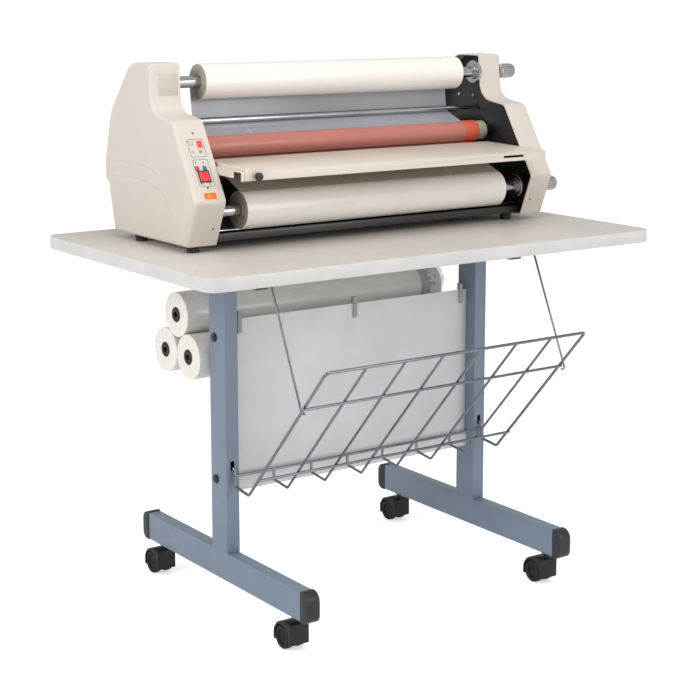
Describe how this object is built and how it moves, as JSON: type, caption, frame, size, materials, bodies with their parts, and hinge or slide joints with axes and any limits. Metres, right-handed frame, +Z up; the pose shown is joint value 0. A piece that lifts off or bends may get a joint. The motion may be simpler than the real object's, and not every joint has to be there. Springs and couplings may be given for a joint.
{
  "type": "roll laminator on wheeled stand",
  "caption": "Wide roll laminator between two housings, on a wheeled table stand with spare film rolls and a wire basket.",
  "frame": {"origin": "on the floor, under the middle of the whole object's bounding box", "axes": "+X to the operator's right along the rollers, +Y from the feed side to the rear where the laminate comes out, +Z up"},
  "size_m": [1.1346, 0.7368, 1.1645],
  "materials": {
    "table_laminate": "pale laminate with a white edge band",
    "blue_grey_enamel": "satin enamel",
    "black_plastic": "matte moulded",
    "black_rubber": "matte",
    "light_grey_enamel": "satin enamel",
    "wrapped_film_roll": "glossy bagged film",
    "chrome_plate": "polished",
    "cream_plastic": "fine moulded grain",
    "amber_lens": "translucent lens",
    "red_lens": "translucent lens",
    "teal_button": "satin",
    "black_enamel": "satin enamel",
    "film_roll_white": "glossy wound film",
    "bright_steel": "machined",
    "orange_silicone": "smooth silicone",
    "cream_painted_sheet": "satin paint"
  },
  "bodies": {
    "stand_and_frame": {"back_panel": "light_grey_enamel", "base_pan": "black_enamel", "drive_motor": "bright_steel", "feed_tray": "cream_painted_sheet", "left_foot_tube": "blue_grey_enamel", "left_front_foot_cap": "black_plastic", "left_front_rubber_foot": "black_rubber", "left_housing": "cream_plastic", "left_leg": "blue_grey_enamel", "left_rear_foot_cap": "black_plastic", "left_rear_rubber_foot": "black_rubber", "left_roll_bracket": "light_grey_enamel", "left_side_plate": "black_enamel", "middle_roll_bracket": "light_grey_enamel", "power_inlet": "black_plastic", "right_foot_tube": "blue_grey_enamel", "right_front_foot_cap": "black_plastic", "right_front_rubber_foot": "black_rubber", "right_housing": "cream_plastic", "right_leg": "blue_grey_enamel", "right_rear_foot_cap": "black_plastic", "right_rear_rubber_foot": "black_rubber", "right_roll_bracket": "light_grey_enamel", "right_side_plate": "black_enamel", "table_top": "table_laminate", "tie_bar": "chrome_plate"},
    "left_front_caster_swivel": {"left_front_caster_fork": "black_plastic"},
    "left_front_caster_rolling": {"left_front_caster_wheels": "black_rubber"},
    "right_front_caster_swivel": {"right_front_caster_fork": "black_plastic"},
    "right_front_caster_rolling": {"right_front_caster_wheels": "black_rubber"},
    "left_rear_caster_swivel": {"left_rear_caster_fork": "black_plastic"},
    "left_rear_caster_rolling": {"left_rear_caster_wheels": "black_rubber"},
    "right_rear_caster_swivel": {"right_rear_caster_fork": "black_plastic"},
    "right_rear_caster_rolling": {"right_rear_caster_wheels": "black_rubber"},
    "top_supply": {"top_mandrel": "chrome_plate", "top_film_roll": "film_roll_white"},
    "top_knob": {"top_tension_knob": "bright_steel"},
    "bottom_supply": {"bottom_mandrel": "chrome_plate", "bottom_film_roll": "film_roll_white"},
    "bottom_knob": {"bottom_tension_knob": "bright_steel"},
    "lower_laminating": {"lower_laminating_roller": "orange_silicone"},
    "upper_laminating": {"upper_laminating_roller": "orange_silicone"},
    "train": {"train_gear": "bright_steel"},
    "lower_pull": {"lower_pull_roller": "black_rubber"},
    "upper_pull": {"upper_pull_roller": "black_rubber"},
    "pinion": {"motor_pinion": "bright_steel"},
    "idler": {"film_idler": "chrome_plate"},
    "power_rocker_key": {"power_rocker": "amber_lens"},
    "run_rocker_key": {"run_rocker": "red_lens"},
    "direction_rocker_key": {"direction_rocker": "red_lens"},
    "stop_button_key": {"stop_button": "red_lens"},
    "run_button_key": {"run_button": "teal_button"},
    "guide": {"edge_guide": "cream_painted_sheet"},
    "guide_screw": {"guide_knob": "black_plastic"},
    "basket": {"wire_basket": "chrome_plate"},
    "left_rod": {"left_basket_rod": "chrome_plate"},
    "right_rod": {"right_basket_rod": "chrome_plate"},
    "front_roll": {"front_spare_roll": "wrapped_film_roll"},
    "rear_roll": {"rear_spare_roll": "wrapped_film_roll"},
    "top_roll": {"top_spare_roll": "wrapped_film_roll"}
  },
  "joints": [
    {"name": "left_front_caster_turn", "type": "hinge", "parent": "stand_and_frame", "child": "left_front_caster_swivel", "pos_m": [-0.3351, -0.2571, 0.06], "axis": [0, 0, 1], "continuous": true},
    {"name": "left_front_caster_roll", "type": "hinge", "parent": "left_front_caster_swivel", "child": "left_front_caster_rolling", "pos_m": [-0.3351, -0.2351, 0.025], "axis": [1, 0, 0], "continuous": true},
    {"name": "right_front_caster_turn", "type": "hinge", "parent": "stand_and_frame", "child": "right_front_caster_swivel", "pos_m": [0.3351, -0.2571, 0.06], "axis": [0, 0, 1], "continuous": true},
    {"name": "right_front_caster_roll", "type": "hinge", "parent": "right_front_caster_swivel", "child": "right_front_caster_rolling", "pos_m": [0.3351, -0.2351, 0.025], "axis": [1, 0, 0], "continuous": true},
    {"name": "left_rear_caster_turn", "type": "hinge", "parent": "stand_and_frame", "child": "left_rear_caster_swivel", "pos_m": [-0.3351, 0.2899, 0.06], "axis": [0, 0, 1], "continuous": true},
    {"name": "left_rear_caster_roll", "type": "hinge", "parent": "left_rear_caster_swivel", "child": "left_rear_caster_rolling", "pos_m": [-0.3351, 0.3119, 0.025], "axis": [1, 0, 0], "continuous": true},
    {"name": "right_rear_caster_turn", "type": "hinge", "parent": "stand_and_frame", "child": "right_rear_caster_swivel", "pos_m": [0.3351, 0.2899, 0.06], "axis": [0, 0, 1], "continuous": true},
    {"name": "right_rear_caster_roll", "type": "hinge", "parent": "right_rear_caster_swivel", "child": "right_rear_caster_rolling", "pos_m": [0.3351, 0.3119, 0.025], "axis": [1, 0, 0], "continuous": true},
    {"name": "top_supply_spin", "type": "hinge", "parent": "stand_and_frame", "child": "top_supply", "pos_m": [0, 0.1219, 1.124], "axis": [1, 0, 0], "continuous": true},
    {"name": "top_knob_turn", "type": "hinge", "parent": "stand_and_frame", "child": "top_knob", "pos_m": [0, 0.1219, 1.124], "axis": [1, 0, 0], "range_deg": [-360, 360]},
    {"name": "bottom_supply_spin", "type": "hinge", "parent": "stand_and_frame", "child": "bottom_supply", "pos_m": [0, -0.0336, 0.87], "axis": [1, 0, 0], "continuous": true},
    {"name": "bottom_knob_turn", "type": "hinge", "parent": "stand_and_frame", "child": "bottom_knob", "pos_m": [0, -0.0336, 0.87], "axis": [1, 0, 0], "range_deg": [-360, 360]},
    {"name": "lower_laminating_spin", "type": "hinge", "parent": "stand_and_frame", "child": "lower_laminating", "pos_m": [0, 0.0974, 0.9411], "axis": [1, 0, 0], "continuous": true},
    {"name": "upper_laminating_spin", "type": "hinge", "parent": "stand_and_frame", "child": "upper_laminating", "pos_m": [0, 0.0974, 0.9895], "axis": [1, 0, 0], "continuous": true},
    {"name": "train_spin", "type": "hinge", "parent": "stand_and_frame", "child": "train", "pos_m": [0, 0.17, 0.94311], "axis": [1, 0, 0], "continuous": true},
    {"name": "lower_pull_spin", "type": "hinge", "parent": "stand_and_frame", "child": "lower_pull", "pos_m": [0, 0.2385, 0.945], "axis": [1, 0, 0], "continuous": true},
    {"name": "upper_pull_spin", "type": "hinge", "parent": "stand_and_frame", "child": "upper_pull", "pos_m": [0, 0.2385, 0.98533], "axis": [1, 0, 0], "continuous": true},
    {"name": "pinion_spin", "type": "hinge", "parent": "stand_and_frame", "child": "pinion", "pos_m": [0, 0.17, 0.87353], "axis": [1, 0, 0], "continuous": true},
    {"name": "idler_spin", "type": "hinge", "parent": "stand_and_frame", "child": "idler", "pos_m": [0, 0.1409, 1.04], "axis": [1, 0, 0], "continuous": true},
    {"name": "power_rocker_tilt", "type": "hinge", "parent": "stand_and_frame", "child": "power_rocker_key", "pos_m": [-0.4176, -0.0733, 0.91357], "axis": [1, 0, 0], "range_deg": [-5, 5]},
    {"name": "run_rocker_tilt", "type": "hinge", "parent": "stand_and_frame", "child": "run_rocker_key", "pos_m": [-0.408, -0.0156, 1.00665], "axis": [1, 0, 0], "range_deg": [-5, 5]},
    {"name": "direction_rocker_tilt", "type": "hinge", "parent": "stand_and_frame", "child": "direction_rocker_key", "pos_m": [-0.4177, -0.0533, 0.94587], "axis": [1, 0, 0], "range_deg": [-5, 5]},
    {"name": "stop_button_press", "type": "slide", "parent": "stand_and_frame", "child": "stop_button_key", "axis": [0, 0.85, -0.5268], "range_m": [0, 0.0015], "stiffness_N_per_m": 600, "springref_m": -0.0005},
    {"name": "run_button_press", "type": "slide", "parent": "stand_and_frame", "child": "run_button_key", "axis": [0, 0.85, -0.5268], "range_m": [0, 0.0015], "stiffness_N_per_m": 600, "springref_m": -0.0005},
    {"name": "guide_slide", "type": "slide", "parent": "stand_and_frame", "child": "guide", "axis": [1, 0, 0], "range_m": [0, 0.6]},
    {"name": "guide_screw_turn", "type": "hinge", "parent": "guide", "child": "guide_screw", "pos_m": [-0.348, -0.1391, 0.95045], "axis": [0, 1, 0], "range_deg": [-360, 360]},
    {"name": "basket_fold", "type": "hinge", "parent": "stand_and_frame", "child": "basket", "pos_m": [0, -0.0126, 0.3225], "axis": [-1, 0, 0], "range_deg": [0, 30]},
    {"name": "left_rod_swing", "type": "hinge", "parent": "stand_and_frame", "child": "left_rod", "pos_m": [-0.3445, -0.1791, 0.756], "axis": [1, 0, 0], "range_deg": [0, 24]},
    {"name": "right_rod_swing", "type": "hinge", "parent": "stand_and_frame", "child": "right_rod", "pos_m": [0.3445, -0.1791, 0.756], "axis": [1, 0, 0], "range_deg": [0, 24]},
    {"name": "front_roll_draw", "type": "slide", "parent": "stand_and_frame", "child": "front_roll", "axis": [-1, 0, 0], "range_m": [0, 0.35]},
    {"name": "rear_roll_draw", "type": "slide", "parent": "stand_and_frame", "child": "rear_roll", "axis": [-1, 0, 0], "range_m": [0, 0.35]},
    {"name": "top_roll_draw", "type": "slide", "parent": "stand_and_frame", "child": "top_roll", "axis": [-1, 0, 0], "range_m": [0, 0.35]}
  ],
  "couplings": [
    {"joint": "upper_laminating_spin", "follows": "lower_laminating_spin", "ratio": -1},
    {"joint": "train_spin", "follows": "lower_laminating_spin", "ratio": -0.5},
    {"joint": "lower_pull_spin", "follows": "lower_laminating_spin", "ratio": 1.2},
    {"joint": "upper_pull_spin", "follows": "lower_laminating_spin", "ratio": -1.2},
    {"joint": "pinion_spin", "follows": "lower_laminating_spin", "ratio": 1.1429},
    {"joint": "left_rod_swing", "follows": "basket_fold", "ratio": 0.8},
    {"joint": "right_rod_swing", "follows": "basket_fold", "ratio": 0.8}
  ]
}
